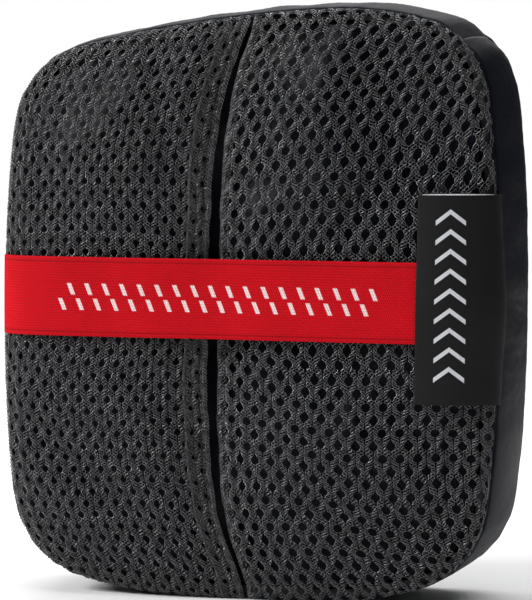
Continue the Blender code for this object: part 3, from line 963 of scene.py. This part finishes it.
class POUCH_OT_nylon_walls(bpy.types.Operator):
    """Make the four gussets and the back of thin nylon"""

    bl_idname = "pouch.nylon_walls"
    bl_label = "Nylon Walls"

    def execute(self, context):
        material = nylon_material("wall_nylon", settings().nylon_color, 0.48, 0.25)
        for name, first, last, seed in (
            ("gusset_bottom", -134.2, -45.8, 3.1), ("gusset_right", -45.8, 45.8, 11.7),
            ("gusset_top", 45.8, 134.2, 5.9), ("gusset_left", 134.2, 225.8, 8.3),
        ):
            self.gusset(name, first, last, seed, material)
        self.back(material)
        self.seam_roll("front_seam_roll", FRONT_SEAM_Y + 0.0004, 0.0009, material)
        self.seam_roll("back_seam_roll", BACK_SEAM_Y, 0.0008, material)
        return {"FINISHED"}

    def wall(self, node, points, uvs, material):
        """A thin nylon piece that stands for a CAD node."""
        wall = add_piece(node + "_nylon", sheet_mesh(node + "_nylon", points, uvs), material)
        thickened(wall, WALL_THICKNESS)
        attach(wall, "pouch")
        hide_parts(node)
        return wall

    def seam_roll(self, name, y, radius, material):
        """The turned edge where a wall is sewn on, as a soft roll round the pouch."""
        line = resampled(closed_outline(-radius), 601)[:-1]
        around = np.linspace(0.0, math.tau, 9)
        outward = outward_of(np.roll(line, -1, axis=0) - np.roll(line, 1, axis=0))
        outward *= np.sign(((line - line.mean(axis=0)) * outward).sum(axis=1))[:, None]
        points = np.empty((len(line) + 1, len(around), 3))
        for k in range(len(line) + 1):
            (x, z), way = line[k % len(line)], outward[k % len(line)]
            size = radius * (1 + 0.22 * soft_noise(x * 300, z * 300, 1.1))
            for j, turn in enumerate(around):
                out = size * math.cos(turn)
                points[k, j] = (x + way[0] * out, y + size * math.sin(turn), max(z + way[1] * out, 0.0002))
        uvs = np.stack(np.meshgrid(around * radius, np.arange(len(line) + 1) * 0.001), axis=-1)
        roll = add_piece(name, sheet_mesh(name, points, uvs, closed=True), material)
        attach(roll, "pouch")

    def gusset(self, name, first, last, seed, material):
        """A wall between two facing angles, swollen by the cover and puckered at its seams."""
        along_count, deep_count = 190, 44
        line, outward = wall_line(first, last, along_count)
        length = np.linalg.norm(np.diff(line, axis=0), axis=1).sum()
        depth = BACK_SEAM_Y - FRONT_SEAM_Y
        flat_foot = np.clip(-outward[:, 1], 0.0, 1.0)
        swell, fine_pucker, broad_pucker, seam_pucker, end_tuck = 0.0022, 0.00014, 0.00070, 0.00045, 0.0009
        points = np.empty((deep_count, along_count, 3))
        uvs = np.empty((deep_count, along_count, 2))
        for j, share in enumerate(np.linspace(0.0, 1.0, deep_count)):
            body = math.sin(math.pi * share) ** 0.55
            deep = share * depth
            near_seam = math.exp(-min(share, 1 - share) / 0.10)
            for i, way in enumerate(np.linspace(0.0, length, along_count)):
                foot = flat_foot[i]
                ends = min(1.0, min(way, length - way) / 0.006)
                pucker = fine_pucker * soft_noise(way * 240 / 0.28, deep * 240, seed)
                pucker += broad_pucker * soft_noise(way * 42 / 0.45, deep * 42, seed + 4)
                pucker += seam_pucker * near_seam * soft_noise(way * 330, 0.0, seed + 9)
                move = swell * (1 - foot) * body * (0.75 + 0.25 * ends) + pucker * body * (1 - 0.85 * foot)
                move = max(move, -0.0012) if foot < 0.9 else min(0.0, move)
                move -= end_tuck * (1 - ends) * (1 - foot)
                x, z = line[i] + outward[i] * move
                points[j, i] = (x, FRONT_SEAM_Y + 0.0004 + (depth - 0.0008) * share, max(z, FLOOR_ROOM))
                uvs[j, i] = (way, deep)
        wall = self.wall(name, points, uvs, material)

    def back(self, material):
        """The back: rings from the seam to the middle, with soft folds over a low crown."""
        rings, around, seam_room = 46, 220, 0.0003
        line = resampled(closed_outline(-0.0002), around + 1)
        centre = line[:-1].mean(axis=0)
        low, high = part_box("back_panel")
        points = np.empty((rings, around + 1, 3))
        for r in range(rings):
            share = 1 - (r / (rings - 1)) ** 1.3
            edge = max(0.0, share - 0.5) / 0.5
            full = (high.y - BACK_SEAM_Y - seam_room) * math.sqrt(max(0.0, 1 - edge ** 2.2))
            for k in range(around + 1):
                x, z = centre + (line[k % around] - centre) * share
                crease = 0.0011 * soft_noise(x * 30, z * 22, 2.5)
                crease -= 0.0012 * abs(soft_noise(x * 16 + z * 30, z * 14 - x * 20, 7.7))
                depth = full + (crease - 0.0002) * min(1.0, (1 - share) / 0.25)
                points[r, k] = (x, BACK_SEAM_Y + seam_room + max(0.0, depth), max(z, 0.0003))
        back = self.wall("back_panel", points, points[..., [0, 2]], material)


# ---- the folded rain cover, and what stays of the CAD model
class POUCH_OT_folded_cover(bpy.types.Operator):
    """Make the folded nylon cover that fills the pouch"""

    bl_idname = "pouch.folded_cover"
    bl_label = "Folded Cover"

    def execute(self, context):
        shape = bmesh.new()
        shape.from_mesh(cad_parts["cover_bundle"].data)
        bmesh.ops.remove_doubles(shape, verts=shape.verts, dist=1e-6)
        material = nylon_material("cover_nylon", settings().cover_color, 0.38, 0.35)
        cover = add_piece("cover_bundle_folded", made_mesh("cover_bundle_folded", shape), material)
        remesh = cover.modifiers.new("even", "REMESH")
        remesh.mode = "VOXEL"
        remesh.voxel_size = 0.0016
        settled(cover)
        self.fold(cover)
        cover.data.shade_smooth()
        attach(cover, "pouch")
        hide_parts("cover_bundle")
        return {"FINISHED"}

    def fold(self, cover):
        """Press the cover's front up to the mesh in places, and lay folds over it."""
        places = vertex_places(cover)
        x, y, z = places.T
        slope_x, slope_z = front_slopes(x, z, 0.0004)
        steepness = np.minimum(np.sqrt(1 + slope_x ** 2 + slope_z ** 2), 4.0)
        facing = np.clip((FRONT_SEAM_Y + 0.004 - y) / 0.006, 0.0, 1.0)
        gaps = np.array([soft_noise(a * 38, b * 26, 4.2) for a, b in zip(x, z)])
        ridges = np.array([abs(soft_noise(a * 60 + b * 40, b * 34 - a * 50, 1.3)) for a, b in zip(x, z)])
        slit_room = 0.0030 * np.exp(-(((x - slit_x(z)) / 0.008) ** 2))
        least_room, free_room, ridge_room = 0.0019, 0.0045, 0.0014
        room = least_room + free_room * np.clip(0.45 + 1.9 * gaps, 0.0, 1.0) + ridge_room * ridges
        wanted = FRONT_SEAM_Y - front_height(x, z) + room * steepness + slit_room
        places[:, 1] = y + (wanted - y) * facing
        inward = np.array([0.0, 0.004, TOP_Z / 2]) - places
        inward /= np.linalg.norm(inward, axis=1, keepdims=True)
        places += inward * ((1 - facing) * 0.0012 * ridges)[:, None]
        cover.data.vertices.foreach_set("co", places.ravel())
        cover.data.update()


class POUCH_OT_inner_trim(bpy.types.Operator):
    """Finish the seam tapes and the hem elastic that stay as they are"""

    bl_idname = "pouch.inner_trim"
    bl_label = "Inner Trim"

    def execute(self, context):
        material = fibre_material(
            "binding_tape", (0.015, 0.015, 0.017), (0.7, 0.3), (0.3, 300.0, 0.03),
            (1800.0, 2.0, 0.0001, 0.5))
        for name in ("front_seam_tape", "back_seam_tape", "cover_hem_elastic"):
            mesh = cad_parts[name].data
            mesh.materials.clear()
            mesh.materials.append(material)
        return {"FINISHED"}


# ---- stage
class POUCH_OT_stage(bpy.types.Operator):
    """Set the floor, the soft light and the camera"""

    bl_idname = "pouch.stage"
    bl_label = "Stage"

    def execute(self, context):
        self.floor()
        self.world()
        for name, place, size, power in (
            ("key", (-1.42, -0.86, 1.10), 0.7, 42.0), ("fill", (1.25, -1.1, 0.45), 0.9, 0.6),
            ("top", (0.0, 0.40, 1.40), 2.0, 28.0), ("back", (-0.55, 1.50, 0.60), 1.2, 6.0),
        ):
            self.light(name, place, size, power)
        self.camera()
        return {"FINISHED"}

    def floor(self):
        material, surface, wire = new_material("white_floor", 0.8, 0.2)
        tone = wire.ranged(wire.noise(wire.coordinates("Object"), 3.0), 0.0, 1.0, 0.90, 0.93)
        tint = wire.add("ShaderNodeCombineColor", {0: tone, 1: tone, 2: tone})
        wire.put(surface["Base Color"], tint.outputs[0])
        shape = bmesh.new()
        bmesh.ops.create_grid(shape, x_segments=8, y_segments=8, size=0.62)
        floor = add_piece("floor", made_mesh("floor", shape), material)
        floor.location.z = -0.0001

    def world(self):
        """Dim light from all round the object, in front of a plain white distance."""
        world = bpy.data.worlds.new("soft_white")
        world.use_nodes = True
        nodes = world.node_tree.nodes
        wire = Wiring(world.node_tree)
        around = nodes["Background"]
        around.inputs["Color"].default_value = (0.93, 0.95, 1.0, 1.0)
        around.inputs["Strength"].default_value = 0.04
        distance = wire.add("ShaderNodeBackground", {"Color": (1.0, 1.0, 1.0, 1.0)})
        seen = wire.add("ShaderNodeLightPath").outputs["Is Camera Ray"]
        mixed = wire.add("ShaderNodeMixShader", {0: seen, 1: around.outputs[0], 2: distance.outputs[0]})
        wire.put(nodes["World Output"].inputs[0], mixed.outputs[0])
        bpy.context.scene.world = world
        bpy.context.scene.view_settings.view_transform = "Standard"

    def light(self, name, place, size, power):
        data = bpy.data.lights.new(name, "AREA")
        data.shape = "SQUARE"
        data.size = size
        data.energy = power
        lamp = placed(name, data)
        lamp.location = place
        aim = Vector((0.0, 0.0, TOP_Z / 2)) - lamp.location
        lamp.rotation_euler = aim.to_track_quat("-Z", "Y").to_euler()

    def camera(self):
        azimuth, elevation, distance = math.radians(17.0), math.radians(4.0), 1.05
        target = Vector((0.0025, -0.0031, 0.0935))
        level = math.cos(elevation)
        way = Vector((math.sin(azimuth) * level, -math.cos(azimuth) * level, math.sin(elevation)))
        data = bpy.data.cameras.new("camera")
        data.sensor_width = 36.0
        data.lens = 199.0
        data.clip_start = 0.05
        camera = placed("camera", data)
        camera.location = target + way * distance
        camera.rotation_euler = (-way).to_track_quat("-Z", "Y").to_euler()
        bpy.context.scene.camera = camera


class POUCH_PT_panel(bpy.types.Panel):
    """Lists the pieces of the pouch and their settings"""

    bl_idname = "POUCH_PT_panel"
    bl_label = "Rain Cover Pouch"
    bl_space_type = "VIEW_3D"
    bl_region_type = "UI"
    bl_category = "Rain Cover"

    def draw(self, context):
        for operator in PIECES:
            self.layout.operator(operator.bl_idname)
        for name in PouchSettings.__annotations__:
            self.layout.prop(context.scene.rain_cover_pouch, name)


PIECES = (
    POUCH_OT_stage, POUCH_OT_hems, POUCH_OT_knitted_flaps, POUCH_OT_elastic_band,
    POUCH_OT_woven_label, POUCH_OT_nylon_walls, POUCH_OT_folded_cover, POUCH_OT_inner_trim,
)
CLASSES = (PouchSettings, *PIECES, POUCH_PT_panel)


def register():
    for cls in CLASSES:
        bpy.utils.register_class(cls)
    bpy.types.Scene.rain_cover_pouch = PointerProperty(type=PouchSettings)


def unregister():
    del bpy.types.Scene.rain_cover_pouch
    for cls in reversed(CLASSES):
        bpy.utils.unregister_class(cls)


def main():
    register()
    for operator in PIECES:
        group, name = operator.bl_idname.split(".")
        getattr(getattr(bpy.ops, group), name)()


if __name__ == "__main__":
    main()
